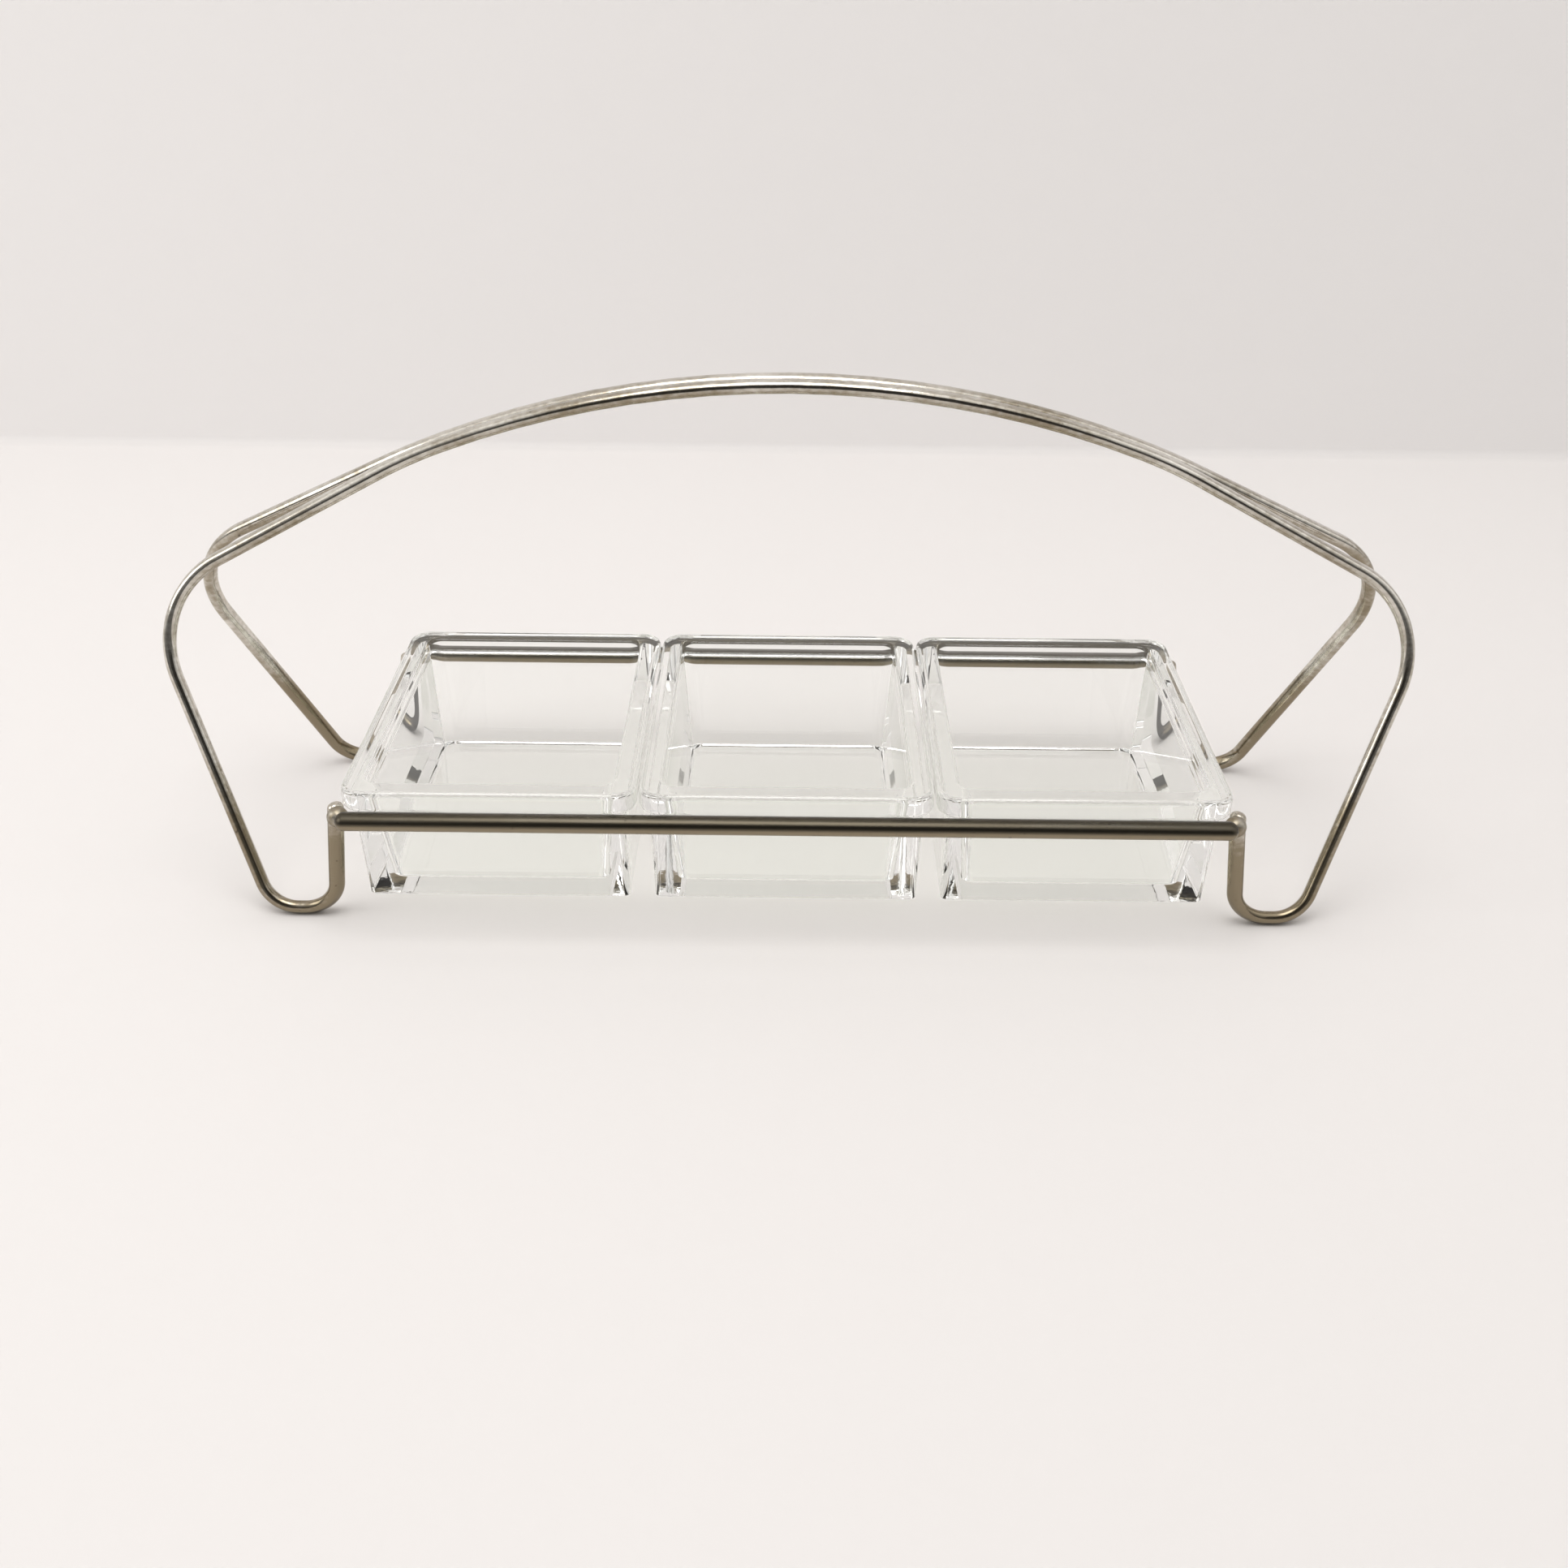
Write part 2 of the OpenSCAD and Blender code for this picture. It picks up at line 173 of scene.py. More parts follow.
class StageSettings(bpy.types.PropertyGroup):
    """Camera and light"""

    eye: FloatVectorProperty(name="Camera", description="Place of the camera", size=3,
                             default=(0.0004, -0.4632, 0.3001), subtype="TRANSLATION")
    down: FloatProperty(name="Tilt down", description="Camera tilt below level",
                        default=math.radians(31.06), subtype="ANGLE")
    turn: FloatProperty(name="Turn", description="Camera turn about the vertical",
                        default=math.radians(0.17), subtype="ANGLE")
    roll: FloatProperty(name="Roll", description="Camera roll",
                        default=math.radians(0.54), subtype="ANGLE")
    wall_y: length("Wall", "Distance of the back wall", 0.405, 0.1, 3.0)


# ---------- shared helpers ----------

def new_piece(name, bm, material, body, slot, *nodes):
    """Turns a bmesh into a smooth piece that rides on a body and stands for CAD nodes."""
    bmesh.ops.remove_doubles(bm, verts=bm.verts, dist=SAME_POINT)
    bmesh.ops.recalc_face_normals(bm, faces=bm.faces)
    for face in bm.faces:
        face.smooth = True
    mesh = bpy.data.meshes.new(name)
    bm.to_mesh(mesh)
    bm.free()
    piece = bpy.data.objects.new(name, mesh)
    bpy.context.scene.collection.objects.link(piece)
    mesh.materials.append(material)
    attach(piece, body)
    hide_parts(*nodes)
    return piece


def add_node(tree, kind, **values):
    """A node whose keyword values are properties or, failing that, inputs."""
    node = tree.nodes.new(kind)
    for key, value in values.items():
        if hasattr(node, key):
            setattr(node, key, value)
        else:
            node.inputs[key.replace("_", " ")].default_value = value
    return node


def ease(tree, low, high, bottom=0.0, top=1.0, smooth=True):
    """A Map Range node that takes low..high to bottom..top."""
    node = add_node(tree, "ShaderNodeMapRange")
    if smooth:
        node.interpolation_type = "SMOOTHSTEP"
    for label, value in (("From Min", low), ("From Max", high),
                         ("To Min", bottom), ("To Max", top)):
        node.inputs[label].default_value = value
    return node


def mix_colours(tree, first=None, second=None):
    """A colour Mix node with its two colours."""
    node = add_node(tree, "ShaderNodeMix", data_type="RGBA")
    for socket, value in ((MIX_A, first), (MIX_B, second)):
        if value is not None:
            node.inputs[socket].default_value = value
    return node


def link(tree, source, target):
    tree.links.new(source, target)


def new_group(name, inputs, outputs):
    """A node group with number inputs, and its ends."""
    group = bpy.data.node_groups.new(name, "ShaderNodeTree")
    for label, value in inputs:
        socket = group.interface.new_socket(label, in_out="INPUT", socket_type="NodeSocketFloat")
        socket.default_value = value
    for label, kind in outputs:
        group.interface.new_socket(label, in_out="OUTPUT", socket_type=kind)
    return group, group.nodes.new("NodeGroupInput"), group.nodes.new("NodeGroupOutput")


def use_group(tree, group, **values):
    """A node group placed in a tree, with values for its inputs."""
    node = tree.nodes.new("ShaderNodeGroup")
    node.node_tree = group
    for key, value in values.items():
        node.inputs[key.replace("_", " ")].default_value = value
    return node


def new_material(name):
    """A material with its tree and main shader."""
    material = bpy.data.materials.new(name)
    material.use_nodes = True
    tree = material.node_tree
    return material, tree, tree.nodes["Principled BSDF"]


def tarnish_and_shade_group():
    """Brown film: a mask from 0, bright metal, to 1, browned, more on the undersides
    and near the table, with small specks, and a mask of the faces that look up, for painted shade."""
    group, given, out = new_group(
        "Tarnish",
        [("Patch Size", 60.0), ("Stretch", 0.3), ("Spread", 0.4), ("Underside", 0.3),
         ("Low Film", 0.0), ("Seed", 0.0)],
        [("Mask", "NodeSocketFloat"), ("Specks", "NodeSocketFloat"),
         ("Painted Shade Top", "NodeSocketFloat")])
    shade_top_mask = ease(group, -0.2, 0.3)
    place = add_node(group, "ShaderNodeTexCoord")
    squeeze = add_node(group, "ShaderNodeCombineXYZ", Y=1.0, Z=1.0)
    drawn = add_node(group, "ShaderNodeVectorMath", operation="MULTIPLY")
    cloud = add_node(group, "ShaderNodeTexNoise", noise_dimensions="4D", Detail=4.0, Roughness=0.6)
    streak = add_node(group, "ShaderNodeTexNoise", noise_dimensions="4D", Detail=3.0,
                      Scale=700.0)
    speck = add_node(group, "ShaderNodeTexNoise", noise_dimensions="4D", Detail=2.0, Scale=520.0)
    facing = add_node(group, "ShaderNodeNewGeometry")
    split = add_node(group, "ShaderNodeSeparateXYZ")
    under = ease(group, 0.25, -0.55)
    mix_streak = add_node(group, "ShaderNodeMath", operation="MULTIPLY_ADD")
    mix_streak.inputs[1].default_value = 0.45
    mix_under = add_node(group, "ShaderNodeMath", operation="MULTIPLY_ADD")
    total = add_node(group, "ShaderNodeMath", operation="ADD")
    height = add_node(group, "ShaderNodeSeparateXYZ")
    low = ease(group, 0.055, 0.025)
    mix_low = add_node(group, "ShaderNodeMath", operation="MULTIPLY_ADD")
    ramp = ease(group, 0.82, 1.38)
    spots = ease(group, 0.66, 0.76)
    link(group, given.outputs["Stretch"], squeeze.inputs["X"])
    link(group, place.outputs["Object"], drawn.inputs[0])
    link(group, squeeze.outputs["Vector"], drawn.inputs[1])
    link(group, drawn.outputs["Vector"], cloud.inputs["Vector"])
    link(group, drawn.outputs["Vector"], streak.inputs["Vector"])
    link(group, place.outputs["Object"], speck.inputs["Vector"])
    link(group, given.outputs["Patch Size"], cloud.inputs["Scale"])
    for noise in (cloud, streak, speck):
        link(group, given.outputs["Seed"], noise.inputs["W"])
    link(group, facing.outputs["Normal"], split.inputs["Vector"])
    link(group, split.outputs["Z"], under.inputs["Value"])
    link(group, streak.outputs["Fac"], mix_streak.inputs[0])
    link(group, cloud.outputs["Fac"], mix_streak.inputs[2])
    link(group, under.outputs["Result"], mix_under.inputs[0])
    link(group, given.outputs["Underside"], mix_under.inputs[1])
    link(group, mix_streak.outputs[0], mix_under.inputs[2])
    link(group, place.outputs["Object"], height.inputs["Vector"])
    link(group, height.outputs["Z"], low.inputs["Value"])
    link(group, low.outputs["Result"], mix_low.inputs[0])
    link(group, given.outputs["Low Film"], mix_low.inputs[1])
    link(group, mix_under.outputs[0], mix_low.inputs[2])
    link(group, mix_low.outputs[0], total.inputs[0])
    link(group, given.outputs["Spread"], total.inputs[1])
    link(group, total.outputs[0], ramp.inputs["Value"])
    link(group, speck.outputs["Fac"], spots.inputs["Value"])
    link(group, ramp.outputs["Result"], out.inputs["Mask"])
    link(group, spots.outputs["Result"], out.inputs["Specks"])
    link(group, split.outputs["Z"], shade_top_mask.inputs["Value"])
    link(group, shade_top_mask.outputs["Result"], out.inputs["Painted Shade Top"])
    return group


def hairline_group():
    """Fine rubbing marks and dents: a height for a bump."""
    group, given, out = new_group(
        "Rubbing marks", [("Fineness", 700.0), ("Dents", 0.5)], [("Height", "NodeSocketFloat")])
    place = add_node(group, "ShaderNodeTexCoord")
    fine = add_node(group, "ShaderNodeTexNoise", Detail=4.0, Roughness=0.7)
    dent = add_node(group, "ShaderNodeTexNoise", Detail=2.0, Scale=130.0)
    mix = add_node(group, "ShaderNodeMath", operation="MULTIPLY_ADD")
    link(group, place.outputs["Object"], fine.inputs["Vector"])
    link(group, place.outputs["Object"], dent.inputs["Vector"])
    link(group, given.outputs["Fineness"], fine.inputs["Scale"])
    link(group, dent.outputs["Fac"], mix.inputs[0])
    link(group, given.outputs["Dents"], mix.inputs[1])
    link(group, fine.outputs["Fac"], mix.inputs[2])
    link(group, mix.outputs[0], out.inputs["Height"])
    return group


def groups():
    """The two node groups every metal shares, made once."""
    found = {g.name: g for g in bpy.data.node_groups}
    return (found.get("Tarnish") or tarnish_and_shade_group(),
            found.get("Rubbing marks") or hairline_group())


def metal_material(name, base, film_values, clean_rough, film_rough, bump, shade_top_amount=0.0):
    """Polished metal under a brown film with small dark specks, and painted shade in near-black on
    its upper side.
    """
    looks = bpy.context.scene.server_finishes
    tarnish, marks = groups()
    material, tree, shader = new_material(name)
    film = use_group(tree, tarnish, **film_values)
    height = use_group(tree, marks, Fineness=900.0, Dents=0.6)
    tint = mix_colours(tree, base, looks.tarnish)
    pitted = mix_colours(tree, second=looks.specks)
    amount = add_node(tree, "ShaderNodeMath", operation="MULTIPLY")
    rough = ease(tree, 0.0, 1.0, clean_rough, film_rough, smooth=False)
    relief = add_node(tree, "ShaderNodeBump", Strength=bump, Distance=0.00006)
    link(tree, film.outputs["Mask"], tint.inputs["Factor"])
    link(tree, film.outputs["Mask"], amount.inputs[0])
    link(tree, film.outputs["Specks"], amount.inputs[1])
    link(tree, amount.outputs[0], pitted.inputs["Factor"])
    link(tree, tint.outputs[MIX_RESULT], pitted.inputs[MIX_A])
    # Painted shade: the black colour laid on the faces that look up, standing in for the shade
    # under the glass rims
    black = mix_colours(tree, second=looks.black_painted_shade)
    cover = add_node(tree, "ShaderNodeMath", operation="MULTIPLY")
    cover.inputs[1].default_value = shade_top_amount
    link(tree, film.outputs["Painted Shade Top"], cover.inputs[0])
    link(tree, cover.outputs[0], black.inputs["Factor"])
    link(tree, pitted.outputs[MIX_RESULT], black.inputs[MIX_A])
    link(tree, black.outputs[MIX_RESULT], shader.inputs["Base Color"])
    link(tree, film.outputs["Mask"], rough.inputs["Value"])
    link(tree, rough.outputs["Result"], shader.inputs["Roughness"])
    link(tree, height.outputs["Height"], relief.inputs["Height"])
    link(tree, relief.outputs["Normal"], shader.inputs["Normal"])
    shader.inputs["Metallic"].default_value = 1.0
    return material


def ripple_group():
    """Slow waves of pressed glass, with finer folds towards the foot of the walls."""
    group, given, out = new_group(
        "Pressed ripple", [("Foot Height", 0.008), ("Fold Height", 0.012)],
        [("Height", "NodeSocketFloat")])
    place = add_node(group, "ShaderNodeTexCoord")
    split = add_node(group, "ShaderNodeSeparateXYZ")
    wave = add_node(group, "ShaderNodeTexNoise", Scale=24.0, Detail=0.0, Roughness=0.4)
    fold = add_node(group, "ShaderNodeTexNoise", Scale=260.0, Detail=2.0, Roughness=0.5)
    low = ease(group, 0.0, 1.0, 0.5, 0.0)
    both = add_node(group, "ShaderNodeMath", operation="MULTIPLY_ADD")
    link(group, place.outputs["Object"], wave.inputs["Vector"])
    link(group, place.outputs["Object"], fold.inputs["Vector"])
    link(group, place.outputs["Object"], split.inputs["Vector"])
    link(group, split.outputs["Z"], low.inputs["Value"])
    link(group, given.outputs["Foot Height"], low.inputs["From Min"])
    link(group, given.outputs["Fold Height"], low.inputs["From Max"])
    link(group, fold.outputs["Fac"], both.inputs[0])
    link(group, low.outputs["Result"], both.inputs[1])
    link(group, wave.outputs["Fac"], both.inputs[2])
    link(group, both.outputs[0], out.inputs["Height"])
    return group


def glass_material():
    """Clear pressed glass that lets soft light through to the table.

    Light that has turned about inside the glass many times leaves it straight."""
    looks = bpy.context.scene.server_finishes
    material, tree, shader = new_material("pressed_glass")
    shader.inputs["Base Color"].default_value = looks.glass
    shader.inputs["Roughness"].default_value = 0.0
    shader.inputs["IOR"].default_value = 1.5
    shader.inputs["Transmission Weight"].default_value = 1.0
    ripple = use_group(tree, ripple_group(), Foot_Height=0.009, Fold_Height=0.018)
    relief = add_node(tree, "ShaderNodeBump", Strength=0.06, Distance=0.0008)
    link(tree, ripple.outputs["Height"], relief.inputs["Height"])
    link(tree, relief.outputs["Normal"], shader.inputs["Normal"])
    path = add_node(tree, "ShaderNodeLightPath")
    clear = add_node(tree, "ShaderNodeBsdfTransparent", Color=(0.975, 0.98, 0.97, 1.0))
    either = add_node(tree, "ShaderNodeMath", operation="MAXIMUM")
    deep = add_node(tree, "ShaderNodeMath", operation="GREATER_THAN")
    deep.inputs[1].default_value = 4.5
    any_of = add_node(tree, "ShaderNodeMath", operation="MAXIMUM")
    mix = add_node(tree, "ShaderNodeMixShader")
    link(tree, path.outputs["Is Shadow Ray"], either.inputs[0])
    link(tree, path.outputs["Is Diffuse Ray"], either.inputs[1])
    link(tree, path.outputs["Ray Depth"], deep.inputs[0])
    link(tree, either.outputs[0], any_of.inputs[0])
    link(tree, deep.outputs[0], any_of.inputs[1])
    link(tree, any_of.outputs[0], mix.inputs["Fac"])
    link(tree, shader.outputs["BSDF"], mix.inputs[1])
    link(tree, clear.outputs["BSDF"], mix.inputs[2])
    link(tree, mix.outputs["Shader"], tree.nodes["Material Output"].inputs["Surface"])
    return material


# ---------- sweeping a wire ----------

def ring_at(bm, centre, wide, ahead, width, thickness):
    """Ring of edges round a flat strip with round edges, square to the direction ahead."""
    thin = ahead.cross(wide)
    made = bmesh.ops.create_circle(bm, segments=RING_SIDES, radius=thickness / 2)["verts"]
    for vert in made:
        across, up = vert.co.x, vert.co.y
        if abs(across) > SAME_POINT:
            across += math.copysign((width - thickness) / 2, across)
        vert.co = centre + wide * across + thin * up
    return list({edge for vert in made for edge in vert.link_edges})


def run_ahead(bm, ring, step):
    """Extrudes the ring straight on by a vector."""
    made = bmesh.ops.extrude_edge_only(bm, edges=ring)["geom"]
    verts = [v for v in made if isinstance(v, bmesh.types.BMVert)]
    bmesh.ops.translate(bm, vec=step, verts=verts)
    return edges_between(made, verts)


def edges_between(geometry, verts):
    """The edges in the geometry whose two ends are both among the verts."""
    chosen = set(verts)
    return [e for e in geometry
            if isinstance(e, bmesh.types.BMEdge) and set(e.verts) <= chosen]


def bend_round(bm, ring, centre, axis, angle):
    """Spins the ring on round a bend."""
    verts = list({v for e in ring for v in e.verts})
    steps = max(FEWEST_BEND_STEPS, math.ceil(angle / BEND_STEP))
    made = bmesh.ops.spin(bm, geom=verts + ring, cent=centre, axis=axis, angle=angle,
                          steps=steps, use_duplicate=False)["geom_last"]
    last = [v for v in made if isinstance(v, bmesh.types.BMVert)]
    return edges_between(made, last)


def round_tip(bm, ring, centre, ahead, reach):
    """Closes the ring with a dome."""
    share_before = 1.0
    for k in range(1, DOME_STEPS):
        angle = math.pi / 2 * k / DOME_STEPS
        ring = run_ahead(bm, ring, Vector())
        verts = list({v for e in ring for v in e.verts})
        share_now = math.cos(angle)
        middle = sum((v.co for v in verts), Vector()) / len(verts)
        target = centre + ahead * reach * math.sin(angle)
        for vert in verts:
            vert.co = target + (vert.co - middle) * (share_now / share_before)
        share_before = share_now
    verts = list({v for e in ring for v in e.verts})
    bmesh.ops.pointmerge(bm, verts=verts, merge_co=centre + ahead * reach)


def wire_points(sizes):
    """Corner points and bend radii of one side of the front wire, from the arch outwards."""
    apex_z = HANDLE_TOP - sizes.thickness / 2
    half = math.asin(sizes.arch_span / 2 / sizes.arch_radius)
    y = -(sizes.width + sizes.seam_gap) / 2
    ahead = Vector((-math.cos(half), 0, -math.sin(half)))
    arch_end = Vector((-sizes.arch_radius * math.sin(half), y,
                       apex_z - sizes.arch_radius * (1 - math.cos(half))))
    shoulder = Vector((-(ROW_HALF + sizes.shoulder_out), -sizes.shoulder_y,
                       RIM_HIGH.z + sizes.shoulder_rise))
    corner = arch_end
    for _ in range(SOLVER_TRIES):
        turn = ahead.angle(shoulder - corner)
        reach = sizes.parting_run + sizes.parting_radius * math.tan(turn / 2)
        corner = arch_end + ahead * reach
    inner = Vector((-(ROW_HALF + sizes.foot_out), -sizes.foot_y, sizes.foot_height))
    leg_top = Vector((-sizes.leg_x, -sizes.leg_y, RAIL_HIGH.z - sizes.thickness / 2))
    along, reach = Vector((1, 0, 0)), 2 * sizes.foot_radius
    for _ in range(SOLVER_TRIES):
        outer = inner - along * reach
        turns = ((outer - shoulder).angle(along), along.angle(leg_top - inner))
        reach = sizes.foot_run + sizes.foot_radius * sum(math.tan(t / 2) for t in turns)
    points = [arch_end, corner, shoulder, inner - along * reach, inner, leg_top]
    radii = [0, sizes.parting_radius, sizes.shoulder_radius, sizes.foot_radius,
             sizes.foot_radius, 0]
    return Vector((0, y, apex_z)), half, points, radii


def sweep_wire(sizes):
    """One whole handle wire, mirrored from its left half, worn flat under its feet."""
    apex, half, points, radii = wire_points(sizes)
    bm = bmesh.new()
    ahead = Vector((-1, 0, 0))
    ring = ring_at(bm, apex, Vector((0, 1, 0)), ahead, sizes.width, sizes.thickness)
    ring = bend_round(bm, ring, apex - Vector((0, 0, sizes.arch_radius)),
                      Vector((0, -1, 0)), half)
    start = points[0]
    for here in range(1, len(points)):
        ahead = (points[here] - points[here - 1]).normalized()
        end, trim = points[here], 0.0
        if here < len(points) - 1:
            after = (points[here + 1] - points[here]).normalized()
            turn = ahead.angle(after)
            trim = radii[here] * math.tan(turn / 2)
        stop = end - ahead * trim
        ring = run_ahead(bm, ring, stop - start)
        if here < len(points) - 1:
            axis = ahead.cross(after).normalized()
            centre = stop + axis.cross(ahead) * radii[here]
            ring = bend_round(bm, ring, centre, axis, turn)
            start = end + after * trim
        else:
            round_tip(bm, ring, stop, ahead, sizes.thickness / 2)
    bmesh.ops.mirror(bm, geom=bm.verts[:] + bm.edges[:] + bm.faces[:], axis="X",
                     matrix=Matrix.Identity(4), merge_dist=SEAM_REACH)
    for vert in bm.verts:
        vert.co.z = max(vert.co.z, 0.0)
    return bm


# ---------- operators ----------

class SERVER_OT_wires(bpy.types.Operator):
    """Sweep the two bent handle wires"""

    bl_idname = "server.make_wires"
    bl_label = "Make handle wires"

    def execute(self, context):
        sizes = context.scene.server_wires
        looks = context.scene.server_finishes
        film = {"Patch_Size": 34.0, "Stretch": 0.6, "Spread": looks.wire_tarnish,
                "Underside": 0.16, "Low_Film": 0.3, "Seed": 2.0}
        silver = metal_material("silver_wire", looks.silver, film, 0.06, 0.2, 0.25)
        for name, rear in (("handle_wire_front", False), ("handle_wire_rear", True)):
            bm = sweep_wire(sizes)
            if rear:
                bmesh.ops.scale(bm, vec=(1, -1, 1), verts=bm.verts)
            new_piece(name, bm, silver, RACK, "rack_metal", "rear_wire" if rear else "front_wire")
        return {"FINISHED"}


class SERVER_OT_rails(bpy.types.Operator):
    """Turn the two rail bars"""

    bl_idname = "server.make_rails"
    bl_label = "Make rails"

    def execute(self, context):
        looks = context.scene.server_finishes
        film = {"Patch_Size": 90.0, "Stretch": 0.1, "Spread": looks.rail_tarnish,
                "Underside": 0.22, "Seed": 7.0}
        # The last value lays painted shade, in black, on the tops of the rails under the glass
        # rims
        silver = metal_material("silver_rail", looks.silver, film, 0.16, 0.3, 0.6, 0.85)
        for node, name in (("front_rail", "rail_front"), ("rear_rail", "rail_rear")):
            low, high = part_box(node)
            middle, size = (low + high) / 2, high - low
            bm = bmesh.new()
            radius, straight = size.z / 2, size.x / 2 - size.z / 2
            turns = [math.pi / 2 * k / RAIL_END_STEPS for k in range(RAIL_END_STEPS + 1)]
            spots = [(-straight - radius * math.cos(turn), radius * math.sin(turn))
                     for turn in turns]
            spots += [(-x, z) for x, z in reversed(spots)]
            verts = [bm.verts.new((x, 0, z)) for x, z in spots]
            edges = [bm.edges.new(pair) for pair in zip(verts, verts[1:])]
            bmesh.ops.spin(bm, geom=verts + edges, cent=(0, 0, 0), axis=(1, 0, 0),
                           angle=math.tau, steps=RING_SIDES, use_merge=True,
                           use_duplicate=False)
            bmesh.ops.scale(bm, vec=(1, size.y / size.z, 1), verts=bm.verts)
            bmesh.ops.translate(bm, vec=middle, verts=bm.verts)
            new_piece(name, bm, silver, RACK, "rack_metal", node)
        return {"FINISHED"}


class SERVER_OT_solder(bpy.types.Operator):
    """Give the solder joints their dull finish"""

    bl_idname = "server.finish_solder"
    bl_label = "Finish solder"

    def execute(self, context):
        looks = context.scene.server_finishes
        film = {"Patch_Size": 160.0, "Stretch": 1.0, "Spread": 0.5, "Underside": 0.1,
                "Seed": 11.0}
        dull = metal_material("solder", looks.solder, film, 0.28, 0.42, 0.8)
        for node in ("corner_solder", "handle_solder"):
            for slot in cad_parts[node].material_slots:
                slot.material = dull
        return {"FINISHED"}


def plan_spots(half_x, half_y, corner, z):
    """Points round a rounded rectangle at height z."""
    spots = []
    for quarter, (sign_x, sign_y) in enumerate(((1, 1), (-1, 1), (-1, -1), (1, -1))):
        middle = Vector((sign_x * (half_x - corner), sign_y * (half_y - corner), z))
        for k in range(CORNER_STEPS + 1):
            angle = math.pi / 2 * (quarter + k / CORNER_STEPS)
            spots.append(middle + Vector((math.cos(angle), math.sin(angle), 0)) * corner)
    return spots


class SERVER_OT_dishes(bpy.types.Operator):
    """Press the three glass dishes"""

    bl_idname = "server.make_dishes"
    bl_label = "Make dishes"

    def execute(self, context):
        sizes = context.scene.server_dishes
        glass = glass_material()
        for node in DISHES:
            low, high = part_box(node)
            bm = dish_mesh(sizes, low, high)
            piece = new_piece("glass_" + node, bm, glass, node, "dish_glass", node)
            flat = piece.modifiers.new("flat faces stay flat", "WEIGHTED_NORMAL")
            flat.keep_sharp = True
        return {"FINISHED"}


def dish_mesh(sizes, low, high):
    """Closed outlines from the base up over the rim and down to the floor of the well."""
    size, middle = high - low, (low + high) / 2
    top, rim_under = size.z, size.z - sizes.rim_height
    rim_x, rim_y = size.x / 2, size.y / 2
    wall_x, wall_y = rim_x - sizes.lip, rim_y - sizes.lip
    base_x, base_y = wall_x - sizes.draft_x, wall_y - sizes.draft_y
    rise = rim_under / (size.z - sizes.rim_height / 2)
    levels = [
        (base_x, base_y, 0.0, sizes.wall_corner, sizes.base_edge),
        (base_x + sizes.draft_x * rise, base_y + sizes.draft_y * rise, rim_under,
         sizes.wall_corner * sizes.corner_growth, sizes.neck_edge),
        (rim_x, rim_y, rim_under, sizes.rim_corner, sizes.rim_edge),
        (rim_x, rim_y, top, sizes.rim_corner, sizes.rim_edge),
        (rim_x - sizes.rim_top, rim_y - sizes.rim_top, top, sizes.well_corner, sizes.lip_edge),
        (base_x - sizes.base_wall_x, base_y - sizes.base_wall_y, sizes.floor,
         sizes.well_corner, sizes.floor_edge),
    ]
    bm = bmesh.new()
    order = bm.verts.layers.int.new("order")
    outlines = [plan_spots(half_x, half_y, corner, z) for half_x, half_y, z, corner, _ in levels]
    verts = [bm.verts.new(spot) for spot in outlines[0]]
    for k, vert in enumerate(verts):
        vert[order] = k
    loop = [bm.edges.new(pair) for pair in zip(verts, verts[1:] + verts[:1])]
    loops = [loop]
    for outline in outlines[1:]:
        made = bmesh.ops.extrude_edge_only(bm, edges=loop)["geom"]
        verts = [v for v in made if isinstance(v, bmesh.types.BMVert)]
        for vert in verts:
            vert.co = outline[vert[order]]
        loop = edges_between(made, verts)
        loops.append(loop)
    for end in (loops[0], loops[-1]):
        bmesh.ops.contextual_create(bm, geom=end)
    bmesh.ops.recalc_face_normals(bm, faces=bm.faces)
    for edges, level in zip(loops, levels):
        bmesh.ops.bevel(bm, geom=edges, offset=level[-1], segments=EDGE_STEPS, affect="EDGES",
                        profile=0.5, material=-1)
    bmesh.ops.translate(bm, vec=(middle.x, middle.y, low.z), verts=bm.verts)
    return bm


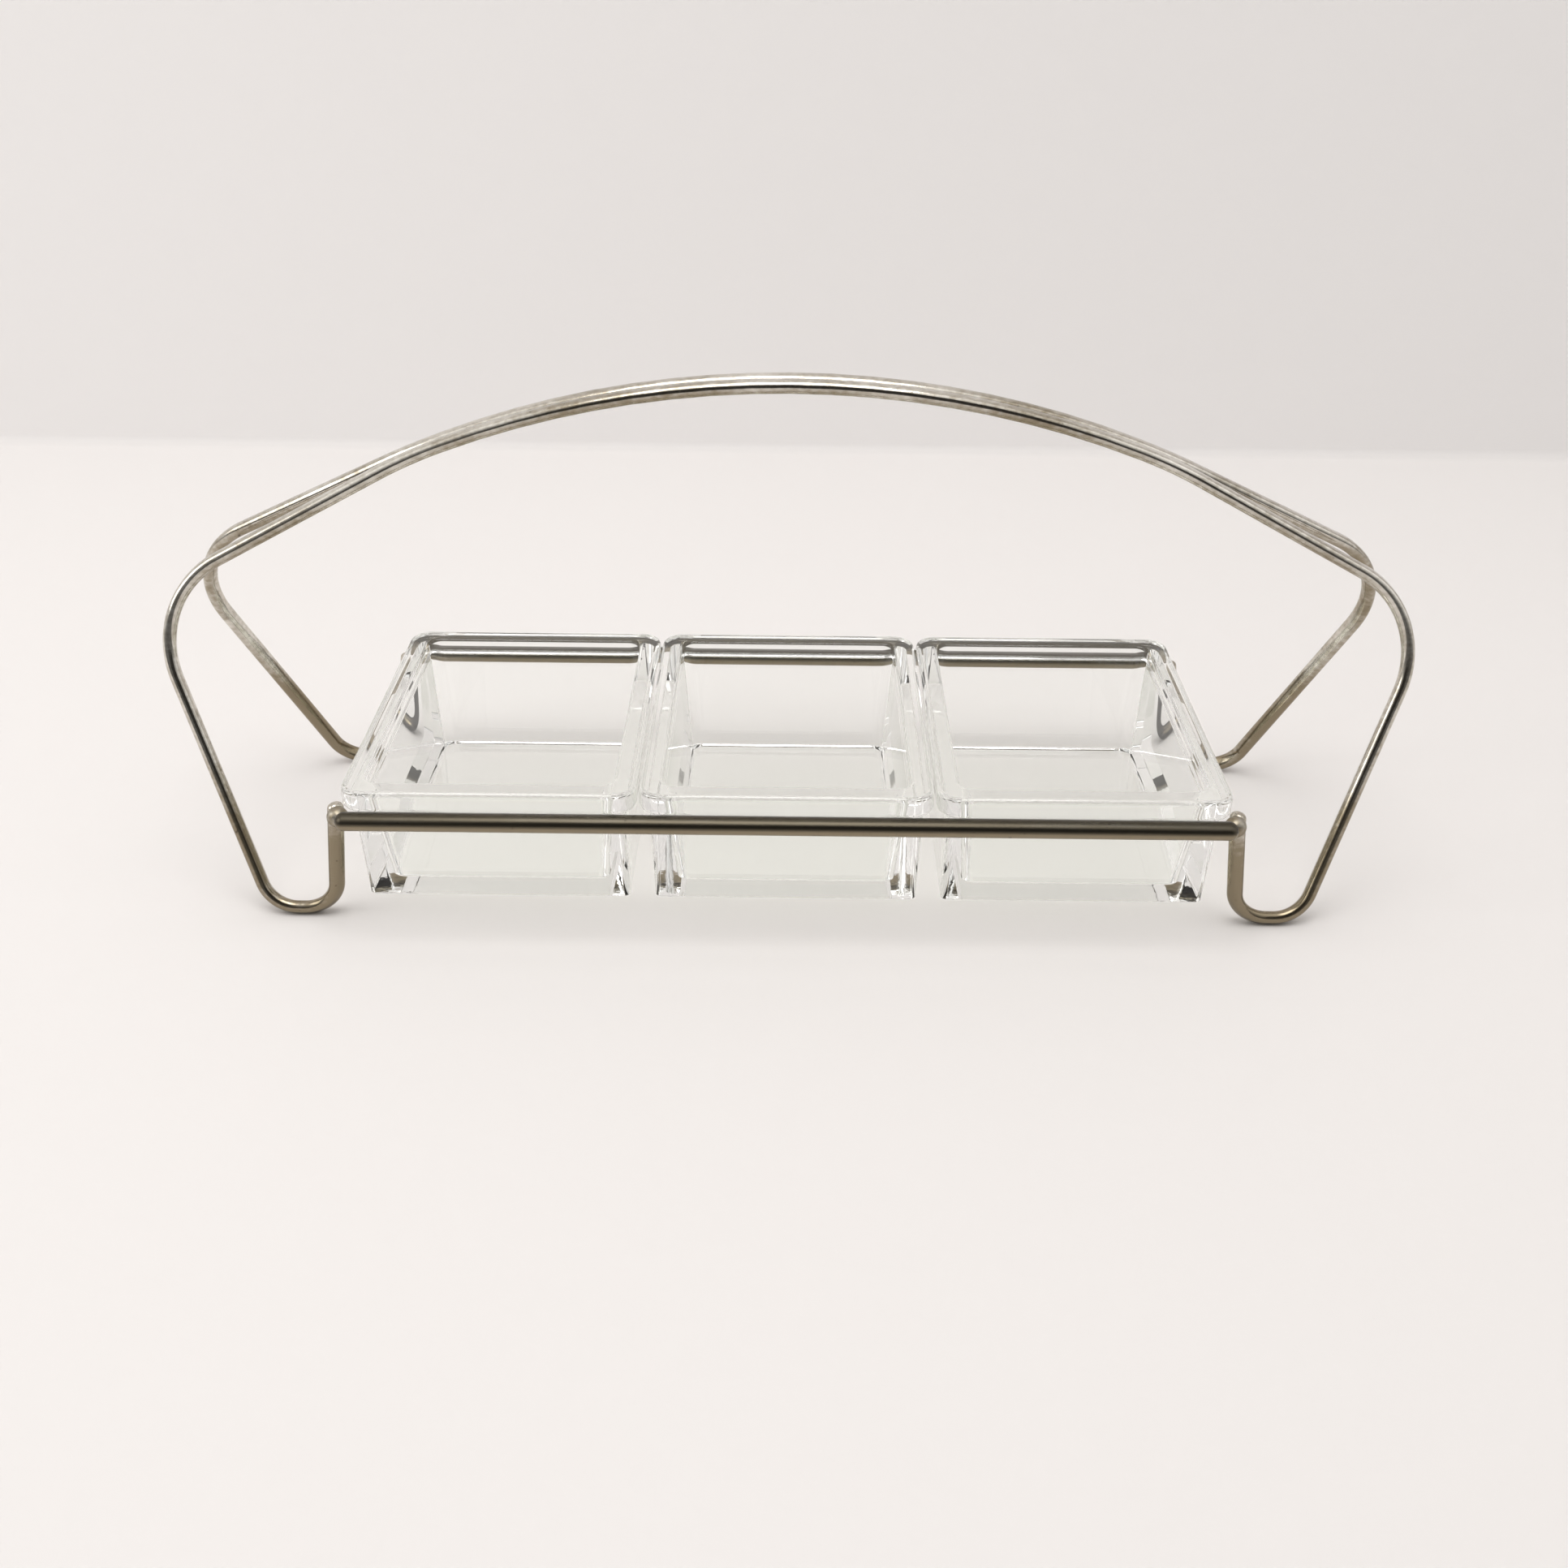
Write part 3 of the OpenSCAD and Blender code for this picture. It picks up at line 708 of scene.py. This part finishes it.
class SERVER_OT_stage(bpy.types.Operator):
    """Set the table, the light and the camera"""

    bl_idname = "server.set_stage"
    bl_label = "Set stage"

    def execute(self, context):
        scene = context.scene
        settings = scene.server_stage
        self.table(settings, scene.server_finishes)
        self.lights()
        self.dark_card()
        self.camera(scene, settings)
        scene.view_settings.view_transform = "Standard"
        return {"FINISHED"}

    def table(self, settings, looks):
        """A wide table top that meets a wall in a soft cove."""
        bm = bmesh.new()
        cove_y = settings.wall_y - COVE_RADIUS
        spots = [(TABLE_FRONT, 0.0), (cove_y, 0.0)]
        for k in range(1, CORNER_STEPS + 1):
            turn = math.pi / 2 * k / CORNER_STEPS
            spots.append((cove_y + COVE_RADIUS * math.sin(turn),
                          COVE_RADIUS * (1 - math.cos(turn))))
        spots.append((settings.wall_y, WALL_HEIGHT))
        verts = [bm.verts.new((-TABLE_REACH, y, z)) for y, z in spots]
        edges = [bm.edges.new(pair) for pair in zip(verts, verts[1:])]
        made = bmesh.ops.extrude_edge_only(bm, edges=edges)["geom"]
        bmesh.ops.translate(bm, vec=(2 * TABLE_REACH, 0, 0),
                            verts=[v for v in made if isinstance(v, bmesh.types.BMVert)])
        bmesh.ops.recalc_face_normals(bm, faces=bm.faces)
        if sum(f.normal.z for f in bm.faces) < 0:
            bmesh.ops.reverse_faces(bm, faces=bm.faces)
        for face in bm.faces:
            face.smooth = True
        mesh = bpy.data.meshes.new("table_top")
        bm.to_mesh(mesh)
        bm.free()
        table = bpy.data.objects.new("table_top", mesh)
        bpy.context.scene.collection.objects.link(table)
        material, tree, shader = new_material("pale_table")
        shader.inputs["Roughness"].default_value = 0.6
        place = add_node(tree, "ShaderNodeTexCoord")
        split = add_node(tree, "ShaderNodeSeparateXYZ")
        above = ease(tree, 0.001, COVE_RADIUS, smooth=False)
        weave = add_node(tree, "ShaderNodeTexNoise", Scale=420.0, Detail=3.0)
        relief = add_node(tree, "ShaderNodeBump", Strength=0.12, Distance=0.0003)
        tint = mix_colours(tree, looks.table, looks.wall)
        link(tree, place.outputs["Object"], split.inputs["Vector"])
        link(tree, place.outputs["Object"], weave.inputs["Vector"])
        link(tree, split.outputs["Z"], above.inputs["Value"])
        link(tree, above.outputs["Result"], tint.inputs["Factor"])
        link(tree, tint.outputs[MIX_RESULT], shader.inputs["Base Color"])
        link(tree, weave.outputs["Fac"], relief.inputs["Height"])
        link(tree, relief.outputs["Normal"], shader.inputs["Normal"])
        mesh.materials.append(material)

    def lights(self):
        """A bright ceiling and rear, a darker room in front, and a window on the left."""
        world = bpy.data.worlds.new("soft_room")
        bpy.context.scene.world = world
        world.use_nodes = True
        tree = world.node_tree
        place = add_node(tree, "ShaderNodeTexCoord")
        turn = add_node(tree, "ShaderNodeVectorMath", operation="DOT_PRODUCT")
        turn.inputs[1].default_value = SKY_LEAN
        ramp = ease(tree, -0.55, 0.4, 0.16, 1.13)
        tint = tree.nodes["Background"]
        tint.inputs["Color"].default_value = (*LIGHT_TINT, 1)
        link(tree, place.outputs["Generated"], turn.inputs[0])
        link(tree, turn.outputs["Value"], ramp.inputs["Value"])
        link(tree, ramp.outputs["Result"], tint.inputs["Strength"])
        for name, spot, aim, size, power in LAMPS:
            data = bpy.data.lights.new(name, "AREA")
            data.size, data.energy, data.color = size, power, LIGHT_TINT
            lamp = bpy.data.objects.new(name, data)
            lamp.location = spot
            lamp.rotation_euler = (Vector(aim) - Vector(spot)).to_track_quat("-Z", "Y").to_euler()
            bpy.context.scene.collection.objects.link(lamp)

    def dark_card(self):
        """A dark card behind the camera, seen only in the metal and the glass."""
        bm = bmesh.new()
        bmesh.ops.create_grid(bm, x_segments=1, y_segments=1, size=0.5,
                              matrix=Matrix.Translation(CARD_PLACE)
                              @ Matrix.Rotation(math.pi / 2, 4, "X")
                              @ Matrix.Diagonal(CARD_SHARE))
        mesh = bpy.data.meshes.new("dark_card")
        bm.to_mesh(mesh)
        bm.free()
        card = bpy.data.objects.new("dark_card", mesh)
        bpy.context.scene.collection.objects.link(card)
        material, tree, shader = new_material("dark_cloth")
        shader.inputs["Base Color"].default_value = (0.02, 0.018, 0.016, 1.0)
        shader.inputs["Roughness"].default_value = 0.9
        mesh.materials.append(material)
        card.visible_camera = False
        card.visible_shadow = False

    def camera(self, scene, settings):
        data = bpy.data.cameras.new("camera")
        data.lens, data.sensor_width = 36.0, 36.0
        camera = bpy.data.objects.new("camera", data)
        turn = Euler((math.pi / 2 - settings.down, 0, settings.turn)).to_matrix()
        roll = Matrix.Rotation(settings.roll, 3, "Z")
        camera.matrix_world = Matrix.Translation(settings.eye) @ (turn @ roll).to_4x4()
        scene.collection.objects.link(camera)
        scene.camera = camera


STEPS = (SERVER_OT_stage, SERVER_OT_rails, SERVER_OT_wires, SERVER_OT_solder, SERVER_OT_dishes)


class SERVER_PT_panel(bpy.types.Panel):
    """Steps that build the server"""

    bl_idname = "SERVER_PT_panel"
    bl_label = "Wire rack server"
    bl_space_type = "VIEW_3D"
    bl_region_type = "UI"
    bl_category = "Server"

    def draw(self, context):
        for step in STEPS:
            self.layout.operator(step.bl_idname)


CLASSES = (WireSizes, DishSizes, Finishes, StageSettings, *STEPS, SERVER_PT_panel)
SETTINGS = {"server_wires": WireSizes, "server_dishes": DishSizes,
            "server_finishes": Finishes, "server_stage": StageSettings}


def register():
    for item in CLASSES:
        bpy.utils.register_class(item)
    for name, kind in SETTINGS.items():
        setattr(bpy.types.Scene, name, PointerProperty(type=kind))


def unregister():
    for name in SETTINGS:
        delattr(bpy.types.Scene, name)
    for item in reversed(CLASSES):
        bpy.utils.unregister_class(item)


def main():
    register()
    bpy.ops.server.set_stage()
    bpy.ops.server.make_rails()
    bpy.ops.server.make_wires()
    bpy.ops.server.finish_solder()
    bpy.ops.server.make_dishes()


if __name__ == "__main__":
    main()
